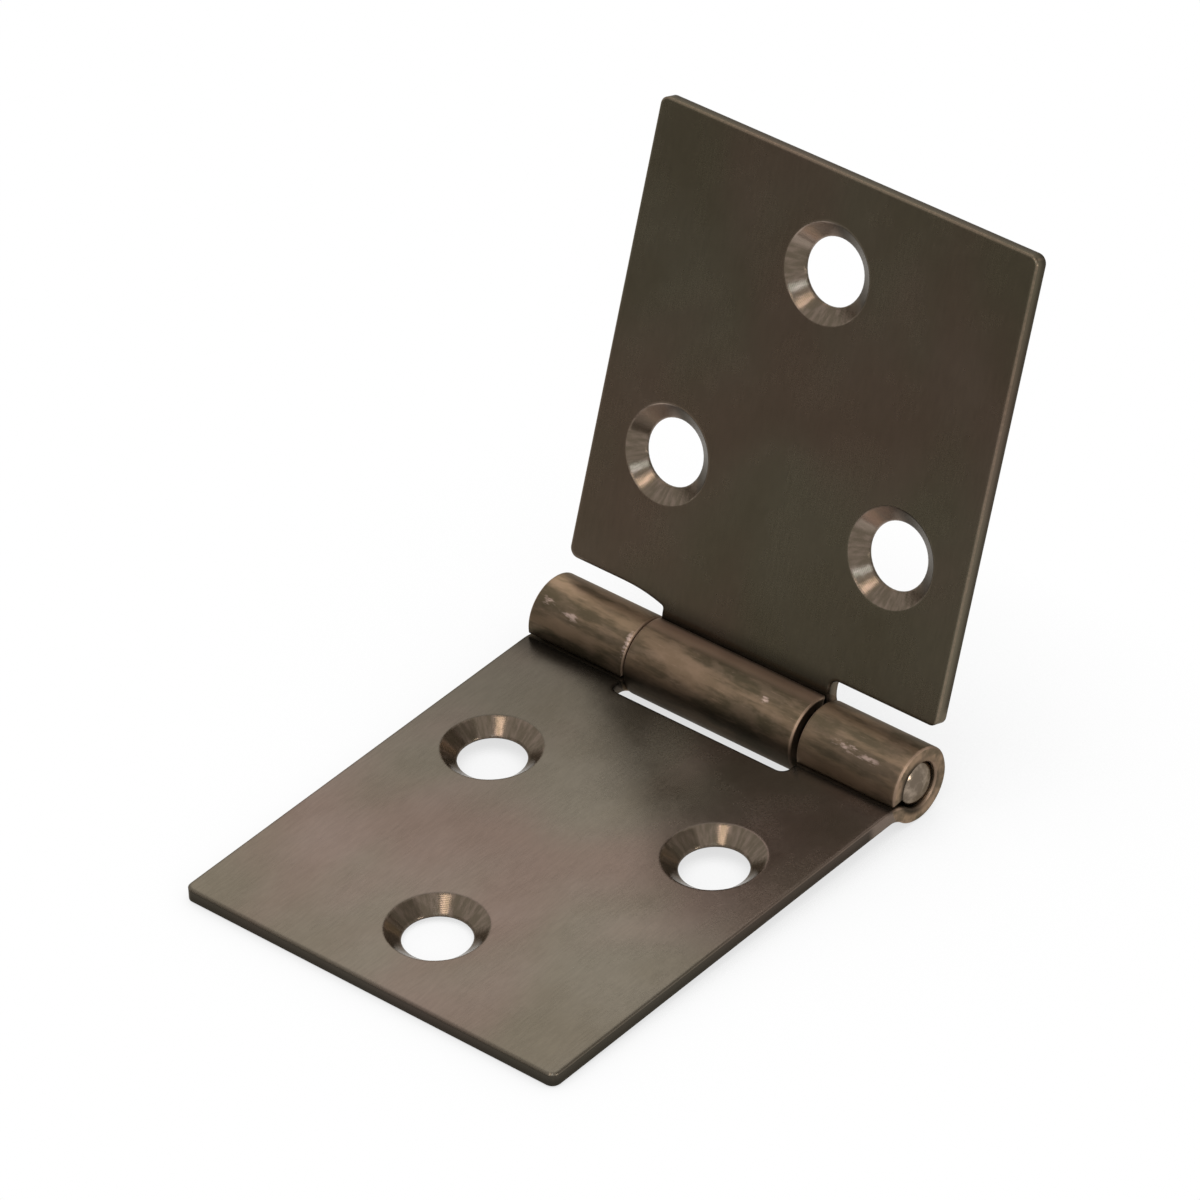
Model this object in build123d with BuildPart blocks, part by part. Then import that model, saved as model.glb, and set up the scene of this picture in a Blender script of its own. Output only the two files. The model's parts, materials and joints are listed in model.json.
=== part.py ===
from build123d import *
from math import asin, degrees, sqrt
import os

os.makedirs("parts", exist_ok=True)

# Back flap hinge: two stamped steel leaves whose edges are rolled into knuckles round one pin.
# Both leaves have the same section. Seen along the pin, the sheet runs in below the pin, dips,
# rolls round the back and over the top, and closes on its own face.
# Millimetres. The origin is on the lower leaf's back face, at the centre of its screw circle.
# X runs along the pin and Z points up out of that face, so the pin lies towards +Y.

# Leaves
leaf_length = 38.0         # along the pin
leaf_reach = 44.7          # from the pin's axis to a leaf's free edge
sheet = 1.3                # thickness of the steel
leaf_corner_radius = 0.8   # plan corners of a leaf
edge_break = 0.15          # small bevel that breaks the stamped edges
leaf_angle = 110.0         # between the two leaves, as the hinge stands

# Pin and knuckles
pin_diameter = 4.0
running_clearance = 0.05   # radial, middle knuckle on the pin
pin_height = 1.75          # pin's axis above a leaf's back face
dip_bend_radius = 3.0      # to the middle of the sheet, where it dips under the pin
seam_gap = 0.15            # between the end of the roll and the face it closes on
pin_dome = 0.75            # height of the pin's domed ends
pin_stand_out = 0.3        # of the domes past the knuckles

# Notches, which let each leaf's knuckles through the other leaf
lower_notch_width = 18.0
notch_clearance = 1.45     # from a barrel to the notch edge that faces it
notch_corner_radius = 0.7
curved_edge_length = 4.3   # the upper leaf's -X notch edge curves towards the pin over this length
curved_edge_drop = 0.6     # and comes this much closer
curved_edge_corner = 0.3   # radius where it meets the middle knuckle
side_gap = 0.1             # at the middle knuckle's -X end, beside its neighbour
end_play = 0.7             # the gaps at both ends of the middle knuckle, added together

# Screw holes, evenly spaced on a circle in each leaf
screws_per_leaf = 3
screw_circle_diameter = 26.5
screw_circle_reach = 23.1  # from the pin's axis to the circle's centre
screw_hole_diameter = 5.7
countersink_diameter = 8.4
countersink_angle = 100.0

pin_radius = pin_diameter / 2
running_bore_radius = pin_radius + running_clearance
middle_barrel_radius = running_bore_radius + sheet
face_height = sheet - pin_height            # a leaf's countersunk face, from the pin's axis
sheet_middle = sheet / 2 - pin_height       # the middle of the sheet, from the pin's axis
notch_reach = middle_barrel_radius + notch_clearance
middle_start = side_gap - lower_notch_width / 2
middle_end = middle_start + lower_notch_width - end_play

# In a leaf's own frame the pin is its X axis, Y runs out along the leaf and Z out of its
# countersunk face. The section plane is square to the pin.
pin_centre = Vector(0, screw_circle_reach, pin_height)
lower_frame = Plane(origin=pin_centre, x_dir=(-1, 0, 0), z_dir=(0, 0, 1))
opened_flat = Plane(origin=pin_centre, x_dir=(1, 0, 0), z_dir=(0, 0, 1))
upper_frame = opened_flat.rotated((180 - leaf_angle, 0, 0))


def dip_start(bore_radius):
    # The dip's circle touches the rolled circle from outside and the plate's middle from below.
    to_roll = bore_radius + sheet / 2 + dip_bend_radius
    below_pin = dip_bend_radius - sheet_middle
    return sqrt(to_roll**2 - below_pin**2), degrees(asin(below_pin / to_roll))


def roll_knuckle(frame, bore_radius, start, end):
    # One strip of sheet from the notch line to the end of the roll, as wide as the knuckle.
    bend_start, touch_angle = dip_start(bore_radius)
    outer_radius = bore_radius + sheet
    end_angle = degrees(asin((face_height + seam_gap) / outer_radius))
    section = Plane(origin=frame.origin, x_dir=frame.y_dir, z_dir=frame.x_dir)
    with BuildSketch(section.offset(start)) as strip:
        with BuildLine():
            flat = Line((notch_reach, sheet_middle), (bend_start, sheet_middle))
            dip = JernArc(flat @ 1, flat % 1, dip_bend_radius, 90 - touch_angle)
            roll_turn = 360 - touch_angle - end_angle
            JernArc(dip @ 1, dip % 1, bore_radius + sheet / 2, -roll_turn)
        trace(line_width=sheet)
    extrude(strip.sketch, amount=end - start)


def stamp_plate(frame, bore_radius, notches):
    # The flat of a leaf, from where its sheet starts to dip out to the free edge.
    inner_edge = dip_start(bore_radius)[0]
    with BuildSketch(frame.offset(-pin_height)) as plate:
        with Locations((0, (inner_edge + leaf_reach) / 2)):
            Rectangle(leaf_length, leaf_reach - inner_edge)
        add(notches, mode=Mode.SUBTRACT)
        sides = plate.vertices().group_by(Axis.X)
        past_roll = notch_reach - sheet / 2
        free_corners = (sides[0] + sides[-1]).filter_by(lambda corner: corner.Y > past_roll)
        fillet(free_corners, leaf_corner_radius)
    extrude(plate.sketch, amount=sheet)


def break_edges(leaf, frame):
    # Every edge but the lines along the pin where one curve of the roll runs into the next.
    along_pin = leaf.edges().filter_by(GeomType.LINE).filter_by(Axis.X)
    inside_roll = along_pin.filter_by(
        lambda edge: frame.to_local_coords(edge.center()).Y < notch_reach - sheet / 2
    )
    chamfer(leaf.edges() - inside_roll, edge_break)


def sink_screw_holes(frame):
    with Locations(frame.offset(face_height)):
        with Locations((0, screw_circle_reach)):
            with PolarLocations(screw_circle_diameter / 2, screws_per_leaf, start_angle=90):
                CounterSinkHole(
                    screw_hole_diameter / 2, countersink_diameter / 2, sheet, countersink_angle
                )


# Lower leaf, with the two outer knuckles, which grip the pin
knuckle_start = lower_notch_width / 2
with BuildSketch() as lower_notch:
    RectangleRounded(lower_notch_width, 2 * notch_reach, notch_corner_radius)
with BuildPart() as lower_leaf:
    stamp_plate(lower_frame, pin_radius, lower_notch.sketch)
    roll_knuckle(lower_frame, pin_radius, -leaf_length / 2, -knuckle_start)
    roll_knuckle(lower_frame, pin_radius, knuckle_start, leaf_length / 2)
    break_edges(lower_leaf, lower_frame)
    sink_screw_holes(lower_frame)
lower_leaf.part.label = "lower_leaf"
export_step(lower_leaf.part, "parts/lower_leaf.step")

# Upper leaf, with the middle knuckle, which turns on the pin
curve_end = (middle_start, notch_reach - curved_edge_drop)
with BuildSketch() as upper_notches:
    with Locations((middle_end + leaf_length / 2, 0)):
        RectangleRounded(leaf_length, 2 * notch_reach, notch_corner_radius)
    with BuildLine():
        outside = middle_start - leaf_length
        curve_start = (middle_start - curved_edge_length, notch_reach)
        straight = Line((outside, notch_reach), curve_start)
        TangentArc(curve_start, curve_end, tangent=straight % 1)
        Polyline(curve_end, (middle_start, 0), (outside, 0), straight @ 0)
    make_face()
    fillet(upper_notches.vertices().sort_by_distance(curve_end)[0], curved_edge_corner)
with BuildPart() as upper_leaf:
    stamp_plate(upper_frame, running_bore_radius, upper_notches.sketch)
    roll_knuckle(upper_frame, running_bore_radius, middle_start, middle_end)
    break_edges(upper_leaf, upper_frame)
    sink_screw_holes(upper_frame)
upper_leaf.part.label = "upper_leaf"
export_step(upper_leaf.part, "parts/upper_leaf.step")

# Pin, a plain rod with domed ends
dome_tip = leaf_length / 2 + pin_stand_out
dome_edge = dome_tip - pin_dome
with BuildPart() as pin:
    with BuildSketch(Plane(origin=pin_centre, x_dir=(1, 0, 0), z_dir=(0, -1, 0))):
        with BuildLine():
            dome = TangentArc((dome_tip, 0), (dome_edge, pin_radius), tangent=(0, 1))
            Polyline(dome @ 1, (0, pin_radius), (0, 0), dome @ 0)
        make_face()
        mirror(about=Plane.YZ)
    revolve(axis=Axis(pin_centre, (1, 0, 0)))
pin.part.label = "pin"
export_step(pin.part, "parts/pin.step")
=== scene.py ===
import json
import math

import bpy
import numpy as np
from mathutils import Matrix, Vector


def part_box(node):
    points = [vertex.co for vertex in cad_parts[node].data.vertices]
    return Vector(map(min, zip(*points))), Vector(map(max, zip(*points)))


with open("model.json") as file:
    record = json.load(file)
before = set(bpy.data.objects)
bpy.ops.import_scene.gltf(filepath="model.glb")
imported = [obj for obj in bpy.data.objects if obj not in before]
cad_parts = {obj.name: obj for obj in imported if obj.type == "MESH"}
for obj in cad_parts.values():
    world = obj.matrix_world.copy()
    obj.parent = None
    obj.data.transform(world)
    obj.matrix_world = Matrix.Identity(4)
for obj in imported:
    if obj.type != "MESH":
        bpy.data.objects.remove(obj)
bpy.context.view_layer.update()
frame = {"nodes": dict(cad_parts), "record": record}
print("frame loaded:", ", ".join(sorted(frame["nodes"])))

mounts = {m["name"]: m for m in frame["record"]["mounts"]}
pinPlace = Vector(frame["record"]["behaviour"]["joints"][0]["pos_m"])
mmPerMetre = 1000.0

# In a leaf's own millimetres: origin in the middle of its screw holes, on the back face, with y
# running out to the free edge and z out of the countersunk face
screwHoles = {
    "circleRadius": mounts["lower_screws"]["dims"]["pcd_mm"] / 2,
    "count": mounts["lower_screws"]["dims"]["count"],
    "coneRadius": 4.2,        # where the countersink meets the face
    "coneFoot": 0.02,         # z where it begins
    "coneBlend": 0.04,
}
knuckles = {
    "halfLength": 19.0,       # of a leaf along the pin
    "plateStart": -17.0,      # the flat plate begins here
    "plateBlend": 0.5,
    "seam": (-19.8, 1.3),     # y and z of the line where the roll closes on the face
    "pin": (-mmPerMetre * pinPlace.y, mmPerMetre * pinPlace.z),     # y and z of its axis
    "pinRadius": 2.0,
    "rollRadius": 3.35,
    "rollBlend": (0.25, 0.05),         # past that radius, where the barrel begins and is full
}

# Noise patterns on the steel: the stretch along x, y and z, where a small number draws the pattern
# out, its scale, detail and roughness, and the two values between which spread takes it from start
# to end
patterns = {
    "clouds": ((1.0, 1.0, 1.0), 0.075, 4.0, 0.55, 0.36, 0.66),
    "drift": ((1.0, 0.7, 1.0), 0.055, 2.0, 0.55, 0.38, 0.62),
    "grain": ((6.0, 0.6, 6.0), 1.0, 2.0, 0.6, 0.2, 0.8),
    "speckle": ((1.0, 1.0, 1.0), 4.0, 1.0, 0.5, 0.30, 0.75),
    "mottle": ((0.27, 1.25, 1.25), 0.5, 4.0, 0.62, 0.40, 0.62),
    "patches": ((0.5, 1.0, 1.0), 0.75, 3.0, 0.6, 0.42, 0.64),
    "scratches": ((0.55, 5.0, 5.0), 1.0, 5.0, 0.75, 0.56, 0.72),
    "markEdge": ((1.0, 3.0, 3.0), 1.3, 3.0, 0.6, 0.35, 0.65),
    "gloss": ((1.0, 1.0, 1.0), 0.22, 4.0, 0.6, 0.3, 0.7),
    "cutStreaks": ((1.0, 1.0, 1.0), 3.0, 4.0, 0.65, 0.38, 0.66),
    "pinMottle": ((1.0, 1.0, 1.0), 0.9, 3.0, 0.6, 0.42, 0.72),
    "pinScratches": ((1.5, 4.0, 4.0), 1.0, 2.0, 0.6),
}


def addNode(tree, kind, inputs=None, **settings):
    made = tree.nodes.new(kind)
    for key, value in settings.items():
        setattr(made, key, value)
    for key, value in (inputs or {}).items():
        if isinstance(value, bpy.types.NodeSocket):
            tree.links.new(value, made.inputs[key])
        else:
            made.inputs[key].default_value = value
    return made


def calc(tree, operation, *terms):
    return addNode(tree, "ShaderNodeMath", dict(enumerate(terms)), operation=operation).outputs[0]


def product(tree, first, *others):
    for other in others:
        first = calc(tree, "MULTIPLY", first, other)
    return first


def largest(tree, first, *others):
    for other in others:
        first = calc(tree, "MAXIMUM", first, other)
    return first


def ramp(tree, value, low, high, start=0.0, end=1.0):
    # runs smoothly from start to end while value goes from low to high
    made = addNode(tree, "ShaderNodeMapRange", {
        "Value": value, "From Min": low, "From Max": high, "To Min": start, "To Max": end,
    }, interpolation_type="SMOOTHSTEP")
    return made.outputs["Result"]


def noise(tree, vector, name):
    stretch, scale, detail, roughness = patterns[name][:4]
    stretched = addNode(tree, "ShaderNodeVectorMath", {0: vector, 1: stretch}, operation="MULTIPLY")
    made = addNode(tree, "ShaderNodeTexNoise", {
        "Vector": stretched.outputs[0], "Scale": scale, "Detail": detail, "Roughness": roughness,
    })
    return made.outputs["Fac"]


def spread(tree, value, name, start=0.0, end=1.0):
    return ramp(tree, value, *patterns[name][4:], start, end)


def pattern(tree, vector, name):
    return spread(tree, noise(tree, vector, name), name)


def mixColour(tree, share, first, second, blend="MIX"):
    made = tree.nodes.new("ShaderNodeMix")
    made.data_type = "RGBA"
    made.blend_type = blend
    sockets = (made.inputs[0], made.inputs[6], made.inputs[7])     # share and the two colours
    for socket, value in zip(sockets, (share, first, second)):
        if isinstance(value, bpy.types.NodeSocket):
            tree.links.new(value, socket)
        else:
            socket.default_value = value
    return made.outputs[2]


def distance(tree, first, second, centre):
    fromFirst = calc(tree, "SUBTRACT", first, centre[0])
    fromSecond = calc(tree, "SUBTRACT", second, centre[1])
    squares = (product(tree, fromFirst, fromFirst), product(tree, fromSecond, fromSecond))
    return calc(tree, "SQRT", calc(tree, "ADD", *squares))


def newMaterial(name):
    made = bpy.data.materials.new(name)
    made.use_nodes = True
    made.node_tree.nodes.clear()
    return made, made.node_tree


def seenRays(tree):
    # 1 for what the camera sees, directly, mirrored or through something clear
    path = addNode(tree, "ShaderNodeLightPath").outputs
    return largest(tree, path["Is Camera Ray"], path["Is Glossy Ray"], path["Is Transmission Ray"])


# What both steels share
surface = {
    "bevelSamples": 8,
    "bumpStrength": 0.7,
    "grazing": (0.55, 0.52, 0.48, 1),  # the tint of what they mirror at a flat angle
}


def steelShader(tree, tone, metallic, gloss, height, edgeRadius):
    # height is in millimetres and edgeRadius in metres
    rounded = addNode(tree, "ShaderNodeBevel", {"Radius": edgeRadius},
                      samples=surface["bevelSamples"])
    bump = addNode(tree, "ShaderNodeBump", {
        "Height": height, "Distance": 1 / mmPerMetre, "Strength": surface["bumpStrength"],
        "Normal": rounded.outputs[0],
    })
    shader = addNode(tree, "ShaderNodeBsdfPrincipled", {
        "Base Color": tone, "Metallic": metallic, "Roughness": gloss,
        "Specular Tint": surface["grazing"], "Normal": bump.outputs[0],
    })
    addNode(tree, "ShaderNodeOutputMaterial", {0: shader.outputs[0]})


brownedSteel = {
    "deep": (0.106, 0.083, 0.058, 1),
    "pale": (0.130, 0.107, 0.081, 1),
    "rose": (0.150, 0.099, 0.086, 1),
    "green": (0.110, 0.103, 0.075, 1),
    "tintShare": 0.40,        # of rose and green
    "grainShade": (0.93, 1.07),
    "shadeReach": (-21.0, 14.0),       # y between which the painted shading beside the knuckles gives way to the one at the free edge
    "mottleDark": (0.074, 0.057, 0.034, 1),
    "mottleLight": (0.200, 0.141, 0.092, 1),
    "mottleShare": 0.8,
    # worn metal, also used for painted highlights on the barrel's top and on the knuckles' end rims
    "worn": (0.36, 0.245, 0.175, 1),
    "patchWear": 0.20,
    "scratchWear": 0.30,
    "bevelWear": (0.10, 0.24),
    "endWear": 0.6,           # of the bevels at the knuckles' ends: part worn edge, part painted highlight of their rims
    # bare metal of the marks, which are partly painted highlights and one a painted glint
    "bare": (0.50, 0.37, 0.31, 1),
    "markEdge": (1.25, 0.1),
    "markUneven": (0.7, -0.3),
    # dark colour of the painted shade: in the seam, round the pin, on the barrel, on side faces and
    # in countersinks
    "residue": (0.010, 0.009, 0.007, 1),
    "seamShade": 0.72,        # how much painted shade lies in the seam
    "seamCore": 0.1,          # how near the seam it is at its full depth
    "seamClimb": 2.5,         # how much less it climbs the roll than it spreads over the plate
    "ringReach": (0.75, 0.25),         # past the pin, where its ring of painted shade, partly a dark joint, begins and is full
    "ringSides": (-1.0, 0.8, 0.25, 0.85),      # y from the pin's middle, and the shares there: the painted shade is deeper towards the plate
    "cut": (0.165, 0.125, 0.096, 1),
    # colour of the painted highlight in the countersinks
    "cutBright": (0.42, 0.33, 0.27, 1),
    "streakSpread": (2.6, 0.3),        # round the hole and up it
    "toolPitch": 0.11,        # of the rings that the tool left
    "toolDepth": 0.0022,
    "grainDepth": 0.0025,
    "sideDepth": (0.3, 1.1),  # z between which the side faces' painted shade goes from its first share to its second
    "edgeRadius": 0.00035,    # metres, the rounding of the stamped edges
    "metallic": 0.86,         # the rest is the brown layer itself, which is matt
    "cutMetallic": 0.78,
    "roughness": 0.24,
    "roughnessDrift": (-0.035, 0.045),
    "speckleGloss": (0.3, 0.7, -0.02, 0.02),
    "wearRoughness": 0.10,
    "barrelRoughness": 0.43,
    "cutRoughness": 0.15,
}

# The parts of the normal between which a face passes from none to all of what is named
slopes = {
    "bevelLow": (0.55, 0.68),
    "bevelHigh": (0.86, 0.73),
    "side": (0.80, 0.50),
    "mark": (0.2, 0.5),
    # painted highlight and painted shade in the countersinks
    "shinyY": (-0.12, -0.42),
    "shinyX": (-0.20, 0.15),
    "dullX": (0.30, -0.10),
    "dullY": (0.40, 0.15),
}

# What differs from leaf to leaf, in the leaf's own millimetres. Most of it is painted light and
# shade, which makes the two leaves lit and shaded copies of one steel. In order: the mount; a
# painted colour cast; the painted shading of the browning beside the knuckles, at the leaf's -x and
# +x ends, the one at the free edge and the one on the barrel, where below 1 paints shade and above
# 1 light; how far the painted shade spreads over the plate from the seam, at these ends; the slopes
# along y between which the barrel is painted darker and brighter, each with its share; the painted
# shade on the sheet's side faces, at the back and at the front; how much their bevels are worn
# bare;
# a painted highlight on the sides of the countersinks towards the free edge, and a painted shade on
# their sides facing -x. Each mark is a bright place on the barrel, part rubbed bare and part
# painted highlight, the lower leaf's last one a painted glint on the left knuckle's end: the x and
# y of its middle, and half its length and width.
leafWearAndPaintedLight = {
    "lower_leaf": {
        "mount": "lower_back",
        "tint": (0.98, 0.99, 1.03, 1),
        "nearShade": (1.30, 0.62),
        "farShade": 1.06,
        "barrelShade": (1.38, 1.33, 1.26, 1),
        "seamReach": (1.0, 3.4),
        "unrubbed": [(-0.15, -0.45, 0.45), (0.35, 0.80, 0.38)],
        "rubbed": (0.86, 0.97, 0.0),
        "sideShade": (0.82, 0.66),
        "edgeWear": 0.3,
        "cutShine": 0.0,
        "cutShade": 0.0,
        "marks": [(-13.4, -20.95, 1.3, 0.26), (-15.6, -20.8, 1.0, 0.22), (17.8, -21.15, 0.75, 0.24),
                  (15.2, -20.85, 0.9, 0.22), (9.3, -20.9, 0.24, 0.8)],
    },
    "upper_leaf": {
        "mount": "upper_back",
        "tint": (1.0, 1.0, 0.93, 1),
        "nearShade": (1.08, 1.04),
        "farShade": 0.86,
        "barrelShade": (0.93, 0.89, 0.85, 1),
        "seamReach": (2.3, 2.3),
        "unrubbed": [(0.28, -0.38, 0.80)],
        "rubbed": (0.86, 0.97, 0.85),
        "sideShade": (0.65, 0.05),
        "edgeWear": 1.0,
        "cutShine": 0.75,
        "cutShade": 0.8,
        "marks": [(4.5, -21.0, 0.5, 0.2)],
    },
}


def leafCoordinates(tree, mount):
    # position and normal in the leaf's own millimetres, turned so that its face is level
    tilt = math.atan2(mount["axis"][1], -mount["axis"][2])
    lies = math.isclose(tilt, 0.0, abs_tol=0.01)
    turn = (0, 0, math.pi) if lies else (tilt, 0, 0)
    place = addNode(tree, "ShaderNodeTexCoord")
    settled = addNode(tree, "ShaderNodeMapping", {
        "Vector": place.outputs["Object"], "Location": mount["pos_m"], "Rotation": turn,
    }, vector_type="TEXTURE")
    point = addNode(tree, "ShaderNodeVectorMath", {
        0: settled.outputs[0], "Scale": mmPerMetre}, operation="SCALE")
    normal = addNode(tree, "ShaderNodeMapping", {
        "Vector": place.outputs["Normal"], "Rotation": turn,
    }, vector_type="TEXTURE")
    return point.outputs[0], normal.outputs[0]


def bevelled(tree, part):
    # 1 where the normal is about halfway between two of the leaf's directions
    return product(tree, ramp(tree, part, *slopes["bevelLow"]),
                   ramp(tree, part, *slopes["bevelHigh"]))


def leafPlaces(tree, mount):
    # Sockets that say where on the leaf a point is and which way it faces. Those from cone on run
    # from 0 to 1, as the point belongs to what they name.
    at = {}
    at["point"], normal = leafCoordinates(tree, mount)
    at["x"], at["y"], at["z"] = addNode(tree, "ShaderNodeSeparateXYZ", {0: at["point"]}).outputs
    at["faceX"], at["faceY"], faceZ = addNode(tree, "ShaderNodeSeparateXYZ", {0: normal}).outputs
    alongPin = calc(tree, "ABSOLUTE", at["faceX"])
    at["outward"] = calc(tree, "ABSOLUTE", faceZ)
    at["fromPin"] = distance(tree, at["y"], at["z"], knuckles["pin"])

    # One pattern for all holes: the angle about the circle's centre is folded onto a single hole
    across = distance(tree, at["x"], at["y"], (0.0, 0.0))
    sector = math.pi / screwHoles["count"]
    turned = calc(tree, "SUBTRACT", calc(tree, "ARCTAN2", at["y"], at["x"]), math.pi / 2)
    folded = calc(tree, "WRAP", turned, sector, -sector)
    holeX = product(tree, across, calc(tree, "SINE", folded))
    holeY = calc(tree, "SUBTRACT", product(tree, across, calc(tree, "COSINE", folded)),
                 screwHoles["circleRadius"])
    at["holeAngle"] = calc(tree, "ARCTAN2", holeY, holeX)
    at["holeRadius"] = distance(tree, holeX, holeY, (0.0, 0.0))

    edge, foot, blend = (screwHoles[key] for key in ("coneRadius", "coneFoot", "coneBlend"))
    at["cone"] = product(tree, ramp(tree, at["holeRadius"], edge + blend, edge - blend),
                         ramp(tree, at["z"], foot, foot + blend))
    at["notCone"] = calc(tree, "SUBTRACT", 1.0, at["cone"])
    start, blend = knuckles["plateStart"], knuckles["plateBlend"]
    at["plate"] = ramp(tree, at["y"], start - blend, start + blend)
    radius, blends = knuckles["rollRadius"], knuckles["rollBlend"]
    at["barrel"] = ramp(tree, at["fromPin"], *(radius + blend for blend in blends))
    at["endBevel"] = bevelled(tree, alongPin)
    faceBevel = product(tree, bevelled(tree, at["outward"]), at["plate"])
    at["bevel"] = product(tree, largest(tree, at["endBevel"], faceBevel), at["notCone"])
    at["side"] = product(tree, ramp(tree, at["outward"], *slopes["side"]), at["plate"],
                         at["notCone"])
    return at


def alongLeaf(tree, at, ends):
    return ramp(tree, at["x"], -knuckles["halfLength"], knuckles["halfLength"], *ends)


def browningAndPaintedShading(tree, at, grain, wearAndPaintedLight, values):
    # broad clouds, a faint drift from rose to green, and a fine grain along the rolling, with
    # painted shading and a painted colour cast for each leaf, and the barrel's mottle with its
    # painted shading
    clouds = pattern(tree, at["point"], "clouds")
    drift = pattern(tree, at["point"], "drift")
    tone = mixColour(tree, clouds, values["deep"], values["pale"])
    tint = mixColour(tree, drift, values["rose"], values["green"])
    tone = mixColour(tree, values["tintShare"], tone, tint)
    # painted shading: the browning darker or lighter towards the knuckles, the free edge and the
    # leaf's ends, times the grain's own shade
    near = alongLeaf(tree, at, wearAndPaintedLight["nearShade"])
    shade = product(tree, spread(tree, grain, "grain", *values["grainShade"]),
                    ramp(tree, at["y"], *values["shadeReach"], near, wearAndPaintedLight["farShade"]))
    grey = addNode(tree, "ShaderNodeCombineColor", {0: shade, 1: shade, 2: shade}).outputs[0]
    tone = mixColour(tree, 1.0, tone, grey, "MULTIPLY")
    # a painted colour cast for each leaf
    tone = mixColour(tree, 1.0, tone, wearAndPaintedLight["tint"], "MULTIPLY")

    mottle = pattern(tree, at["point"], "mottle")
    mottled = mixColour(tree, mottle, values["mottleDark"], values["mottleLight"])
    # painted shading of the barrel: lighter on the lying leaf's knuckles, darker on the raised
    # leaf's
    mottled = mixColour(tree, 1.0, mottled, wearAndPaintedLight["barrelShade"], "MULTIPLY")
    return mixColour(tree, product(tree, at["barrel"], values["mottleShare"]), tone, mottled)


def barrelRub(tree, at, values):
    patches = product(tree, pattern(tree, at["point"], "patches"), values["patchWear"])
    scratches = product(tree, pattern(tree, at["point"], "scratches"), values["scratchWear"])
    return product(tree, at["barrel"], calc(tree, "ADD", patches, scratches))


def wornAndHighlightTone(tree, tone, at, speckle, rub, wearAndPaintedLight, values):
    # bright where hands and screws rub the barrel and the bevels, and painted highlights on the top
    # of the barrel, on the rims of the knuckles' ends and in the marks
    # painted highlight on the top of the barrel, by which way it faces
    low, high, share = wearAndPaintedLight["rubbed"]
    top = product(tree, ramp(tree, at["faceY"], low, high, 0.0, share), at["barrel"])
    bevels = product(tree, at["bevel"], wearAndPaintedLight["edgeWear"],
                     spread(tree, speckle, "speckle", *values["bevelWear"]))
    # the knuckles' end bevels: part worn, part painted highlight of their rims
    ends = product(tree, at["endBevel"], at["barrel"], values["endWear"])
    tone = mixColour(tree, largest(tree, rub, top, bevels, ends), tone, values["worn"])

    # bright places on the barrel: part rubbed bare, part painted highlights, one a painted glint on
    # the left knuckle's end
    uneven = spread(tree, noise(tree, at["point"], "markEdge"), "markEdge", *values["markUneven"])
    onMark = product(tree, at["barrel"], ramp(tree, at["outward"], *slopes["mark"]))
    for markX, markY, halfLength, halfWidth in wearAndPaintedLight["marks"]:
        fromMark = distance(tree, product(tree, at["x"], 1 / halfLength),
                            product(tree, at["y"], 1 / halfWidth),
                            (markX / halfLength, markY / halfWidth))
        mark = ramp(tree, calc(tree, "ADD", fromMark, uneven), *values["markEdge"])
        tone = mixColour(tree, product(tree, mark, onMark), tone, values["bare"])
    return tone


def darkTone(tree, tone, at, wearAndPaintedLight, values):
    # Painted shade, dark where shade falls: in the seam where the roll closes on the face, in the
    # ring between the end of a knuckle and the pin, partly a dark joint, on the barrel by which way
    # it faces, and on the stamped side faces of the plate
    seamY, seamZ = knuckles["seam"]
    climb = values["seamClimb"]
    fromSeam = distance(tree, at["y"], product(tree, at["z"], climb), (seamY, seamZ * climb))
    reach = alongLeaf(tree, at, wearAndPaintedLight["seamReach"])
    inSeam = product(tree, ramp(tree, fromSeam, reach, values["seamCore"]), values["seamShade"])

    # painted shade round the pin, partly a dark joint, deeper on the side towards the plate
    low, high, *shares = values["ringSides"]
    pinY, radius, reaches = knuckles["pin"][0], knuckles["pinRadius"], values["ringReach"]
    atPin = product(tree, ramp(tree, at["fromPin"], *(radius + reach for reach in reaches)),
                    ramp(tree, at["y"], pinY + low, pinY + high, *shares))

    # painted shade on the barrel, by which way it faces
    unrubbed = largest(tree, *(ramp(tree, at["faceY"], low, high, 0.0, share)
                               for low, high, share in wearAndPaintedLight["unrubbed"]))
    unrubbed = product(tree, unrubbed, at["barrel"])
    # painted shade on the stamped side faces
    sides = product(tree, at["side"], ramp(tree, at["z"], *values["sideDepth"], *wearAndPaintedLight["sideShade"]))
    return mixColour(tree, largest(tree, inSeam, atPin, unrubbed, sides), tone, values["residue"])


def cutTone(tree, tone, at, wearAndPaintedLight, values):
    # Machined countersinks, streaked where the tool chattered round them, with a painted highlight
    # on their sides towards the free edge and painted shade on their sides facing -x
    around, upward = values["streakSpread"]
    polar = addNode(tree, "ShaderNodeCombineXYZ", {
        0: product(tree, calc(tree, "COSINE", at["holeAngle"]), around),
        1: product(tree, calc(tree, "SINE", at["holeAngle"]), around),
        2: product(tree, at["z"], upward),
    }).outputs[0]
    cut = mixColour(tree, pattern(tree, polar, "cutStreaks"), values["deep"], values["cut"])
    # painted highlight on the sides towards the free edge
    litCutMask = product(tree, ramp(tree, at["faceY"], *slopes["shinyY"], 0.0, wearAndPaintedLight["cutShine"]),
                    ramp(tree, at["faceX"], *slopes["shinyX"]))
    cut = mixColour(tree, litCutMask, cut, values["cutBright"])
    # painted shade on the sides facing -x
    shadedCutMask = product(tree, ramp(tree, at["faceX"], *slopes["dullX"], 0.0, wearAndPaintedLight["cutShade"]),
                   ramp(tree, at["faceY"], *slopes["dullY"]))
    cut = mixColour(tree, shadedCutMask, cut, values["residue"])
    return mixColour(tree, at["cone"], tone, cut)


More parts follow.
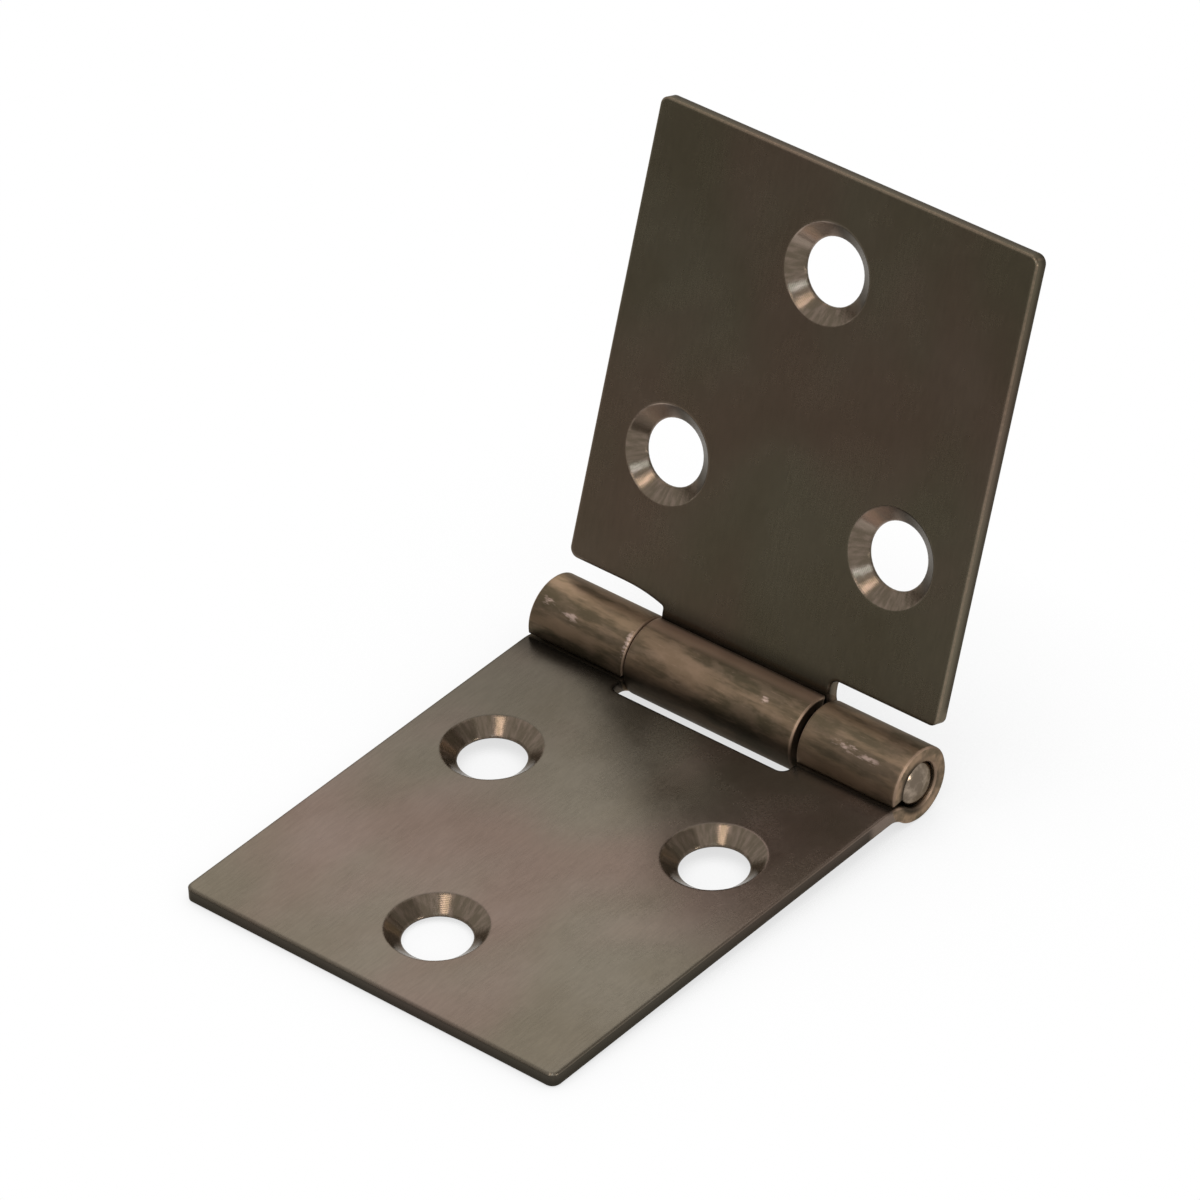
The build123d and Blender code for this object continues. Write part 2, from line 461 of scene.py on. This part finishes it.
def leafHeight(tree, at, grain, speckle, values):
    turns = product(tree, at["holeRadius"], 2 * math.pi / values["toolPitch"])
    rings = product(tree, calc(tree, "SINE", turns), at["cone"], values["toolDepth"])
    rough = product(tree, calc(tree, "ADD", grain, speckle), values["grainDepth"], at["notCone"])
    return calc(tree, "ADD", rings, rough)


def leafGloss(tree, at, speckle, rub, values):
    base = values["roughness"]
    gloss = spread(tree, noise(tree, at["point"], "gloss"), "gloss",
                   *(base + change for change in values["roughnessDrift"]))
    for change in (product(tree, at["barrel"], values["barrelRoughness"] - base),
                   ramp(tree, speckle, *values["speckleGloss"]),
                   product(tree, rub, values["wearRoughness"])):
        gloss = calc(tree, "ADD", gloss, change)
    toCut = product(tree, calc(tree, "SUBTRACT", values["cutRoughness"], gloss), at["cone"])
    return calc(tree, "ADD", gloss, toCut)


def brownLeaf(name, wearAndPaintedLight, values):
    material, tree = newMaterial(name)
    at = leafPlaces(tree, mounts[wearAndPaintedLight["mount"]])
    grain = noise(tree, at["point"], "grain")
    speckle = noise(tree, at["point"], "speckle")
    rub = barrelRub(tree, at, values)
    tone = browningAndPaintedShading(tree, at, grain, wearAndPaintedLight, values)
    tone = wornAndHighlightTone(tree, tone, at, speckle, rub, wearAndPaintedLight, values)
    tone = darkTone(tree, tone, at, wearAndPaintedLight, values)
    tone = cutTone(tree, tone, at, wearAndPaintedLight, values)
    lessMetallic = product(tree, at["cone"], values["cutMetallic"] - values["metallic"])
    steelShader(tree, tone, calc(tree, "ADD", values["metallic"], lessMetallic),
                leafGloss(tree, at, speckle, rub, values),
                leafHeight(tree, at, grain, speckle, values), values["edgeRadius"])
    return material


pinSteel = {
    "dark": (0.150, 0.118, 0.088, 1),
    "light": (0.30, 0.24, 0.185, 1),
    "residue": (0.010, 0.009, 0.007, 1),
    "rim": (0.22, 0.02),      # how far inside the pin's edge the painted shade of the gap begins and ends
    "metallic": 1.0,
    "gloss": (0.3, 0.7, 0.11, 0.21),
    "edgeRadius": 0.0005,
    "scratchDepth": 0.003,
}


def pinMaterial(values):
    material, tree = newMaterial("pinSteel")
    place = addNode(tree, "ShaderNodeTexCoord")
    point = addNode(tree, "ShaderNodeVectorMath", {
        0: place.outputs["Object"], "Scale": mmPerMetre}, operation="SCALE").outputs[0]
    y, z = addNode(tree, "ShaderNodeSeparateXYZ", {0: point}).outputs[1:]
    mottle = noise(tree, point, "pinMottle")
    tone = mixColour(tree, spread(tree, mottle, "pinMottle"), values["dark"], values["light"])
    fromAxis = distance(tree, y, z, (mmPerMetre * pinPlace.y, mmPerMetre * pinPlace.z))
    # darker in a ring at the pin's edge: painted shade of the gap round it
    atRim = ramp(tree, fromAxis, *(knuckles["pinRadius"] - inside for inside in values["rim"]))
    tone = mixColour(tree, atRim, tone, values["residue"])
    height = product(tree, noise(tree, point, "pinScratches"), values["scratchDepth"])
    gloss = ramp(tree, mottle, *values["gloss"])
    steelShader(tree, tone, values["metallic"], gloss, height, values["edgeRadius"])
    return material


def dress(node, material):
    mesh = frame["nodes"][node].data
    mesh.materials.clear()
    mesh.materials.append(material)


dress("lower_leaf", brownLeaf("lowerLeafSteel", leafWearAndPaintedLight["lower_leaf"], brownedSteel))
dress("upper_leaf", brownLeaf("upperLeafSteel", leafWearAndPaintedLight["upper_leaf"], brownedSteel))
dress("pin", pinMaterial(pinSteel))
print("steel finished")


def placeMesh(name, points, faces, material):
    mesh = bpy.data.meshes.new(name)
    mesh.from_pydata(points, [], faces)
    mesh.materials.append(material)
    made = bpy.data.objects.new(name, mesh)
    bpy.context.scene.collection.objects.link(made)
    return made


floorValues = {
    "reach": 0.16,
    "corners": 96,
    "gap": 0.00002,           # left under the hinge
    "colour": (0.94, 0.94, 0.94, 1),
    "shadow": 0.30,           # depth of the soft shadow where the hinge hides all the light
    "shadowReach": 0.03,
    "shadowSamples": 4,
}


def floorMaterial(values):
    # What is seen of the floor is the white studio with the hinge's soft shadow, so a leaf that
    # swings below it isn't hidden
    material, tree = newMaterial("floorWhite")
    matt = addNode(tree, "ShaderNodeBsdfDiffuse", {"Color": values["colour"]})
    light = addNode(tree, "ShaderNodeAmbientOcclusion", {
        "Distance": values["shadowReach"]}, samples=values["shadowSamples"])
    shade = ramp(tree, light.outputs["AO"], 0.0, 1.0, 1.0 - values["shadow"], 1.0)
    clear = addNode(tree, "ShaderNodeBsdfTransparent", {"Color": shade})
    both = addNode(tree, "ShaderNodeMixShader", {
        0: seenRays(tree), 1: matt.outputs[0], 2: clear.outputs[0]})
    addNode(tree, "ShaderNodeOutputMaterial", {0: both.outputs[0]})
    return material


def makeFloor(values):
    # A flat disc under the hinge, which lies on its barrel and on the lower leaf's free edge: the
    # points of a circle, on the plane through both of these lines along x
    low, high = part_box("lower_leaf")
    edgeY = low.y
    slope = low.z / (pinPlace.y - edgeY)
    angles = np.linspace(0, 2 * np.pi, values["corners"] + 1)[:-1]
    x = values["reach"] * np.cos(angles)
    y = values["reach"] * np.sin(angles)
    z = slope * (y - edgeY) - values["gap"]
    floor = placeMesh("floor", np.stack([x, y, z], 1).tolist(), [list(range(values["corners"]))],
                      floorMaterial(values))


makeFloor(floorValues)
print("floor laid")


# Grey cards stand out of view: the raised leaf and the barrel mirror the one in front, and the
# near sides of the lying countersinks mirror the one behind on the right. Each spans some degrees
# round from +X, and above level.
cards = {
    "distance": 0.95,         # from the hinge
    "colour": (0.36, 0.35, 0.33, 1),
    "columns": 25,
    "rows": 17,
    "frontCard": {"round": (-149.0, -95.0), "up": (-15.0, 29.0)},
    "rightCard": {"round": (0.0, 72.0), "up": (24.0, 62.0)},
}


def makeCard(name, values):
    # Part of a sphere about the hinge, from angles round it and above level
    around, above = np.meshgrid(
        np.radians(np.linspace(*values[name]["round"], values["columns"])),
        np.radians(np.linspace(*values[name]["up"], values["rows"])))
    points = np.stack([np.cos(around) * np.cos(above), np.sin(around) * np.cos(above),
                       np.sin(above)], -1)
    index = np.arange(around.size).reshape(around.shape)
    corners = [index[:-1, :-1], index[1:, :-1], index[1:, 1:], index[:-1, 1:]]
    faces = np.stack(corners, -1).reshape(-1, 4)
    material, tree = newMaterial("cardGrey")
    matt = addNode(tree, "ShaderNodeBsdfDiffuse", {"Color": values["colour"]})
    addNode(tree, "ShaderNodeOutputMaterial", {0: matt.outputs[0]})
    card = placeMesh(name, (values["distance"] * points).reshape(-1, 3).tolist(), faces.tolist(),
                     material)
    card.visible_camera = False


makeCard("frontCard", cards)
makeCard("rightCard", cards)


studio = {
    "fill": 0.96,             # the world, as it lights the floor
    "panels": [
        {"name": "backPanel", "place": (-0.53, 0.62, 0.62), "size": 0.62, "power": 1.15,
         "colour": (1.0, 0.97, 0.95)},
        {"name": "warmPanel", "place": (0.08, -0.47, 0.88), "size": 0.22, "power": 1.15,
         "colour": (1.0, 0.87, 0.78)},
        {"name": "coolPanel", "place": (0.46, -0.55, 0.70), "size": 0.20, "power": 0.85,
         "colour": (0.68, 0.85, 1.0)},
        {"name": "rimPanel", "place": (0.16, -0.70, 0.69), "size": 0.18, "power": 0.70,
         "colour": (1.0, 0.93, 0.90)},
        {"name": "sidePanel", "place": (0.96, -0.03, 0.21), "size": 0.20, "power": 2.0,
         "colour": (1.0, 0.98, 0.95)},
    ],
}


def lightStudio(values):
    world = bpy.data.worlds.new("studio")
    bpy.context.scene.world = world
    world.use_nodes = True
    tree = world.node_tree
    tree.nodes.clear()
    white = (1, 1, 1, 1)
    lit = addNode(tree, "ShaderNodeBackground", {"Color": white, "Strength": values["fill"]})
    seen = addNode(tree, "ShaderNodeBackground", {"Color": white, "Strength": 1.0})
    both = addNode(tree, "ShaderNodeMixShader", {
        0: seenRays(tree), 1: lit.outputs[0], 2: seen.outputs[0]})
    addNode(tree, "ShaderNodeOutputWorld", {0: both.outputs[0]})
    for panel in values["panels"]:
        lamp = bpy.data.lights.new(panel["name"], "AREA")
        lamp.size = panel["size"]
        lamp.energy = panel["power"]
        lamp.color = panel["colour"]
        holder = bpy.data.objects.new(panel["name"], lamp)
        holder.location = panel["place"]
        holder.rotation_euler = (-Vector(panel["place"])).to_track_quat("-Z", "Y").to_euler()
        bpy.context.scene.collection.objects.link(holder)
    bpy.context.scene.view_settings.view_transform = "Standard"


lightStudio(studio)
print("studio lit")


cameraValues = {
    "azimuth": 41.603,        # degrees, turned from looking along +Y
    "elevation": 36.655,
    "roll": -2.482,
    "distance": 0.72111,
    "target": (-0.0089, 0.018935, 0.011355),
    "lens": 271.65,
    "sensor": 36.0,
    "shift": (-0.00973, -0.01308),
    "clip": (0.01, 10.0),
}


def placeCamera(values):
    angles = ("azimuth", "elevation", "roll")
    azimuth, elevation, roll = (math.radians(values[angle]) for angle in angles)
    back = Vector((math.sin(azimuth) * math.cos(elevation),
                   -math.cos(azimuth) * math.cos(elevation), math.sin(elevation)))
    right = (-back).cross(Vector((0, 0, 1))).normalized()
    up = right.cross(-back)
    rolledRight = right * math.cos(roll) + up * math.sin(roll)
    rolledUp = up * math.cos(roll) - right * math.sin(roll)
    data = bpy.data.cameras.new("camera")
    data.lens = values["lens"]
    data.sensor_width = values["sensor"]
    data.shift_x, data.shift_y = values["shift"]
    data.clip_start, data.clip_end = values["clip"]
    camera = bpy.data.objects.new("camera", data)
    bpy.context.scene.collection.objects.link(camera)
    place = Vector(values["target"]) + back * values["distance"]
    axes = Matrix((rolledRight, rolledUp, back)).transposed().to_4x4()
    camera.matrix_world = Matrix.Translation(place) @ axes
    bpy.context.scene.camera = camera


placeCamera(cameraValues)
print("camera placed")
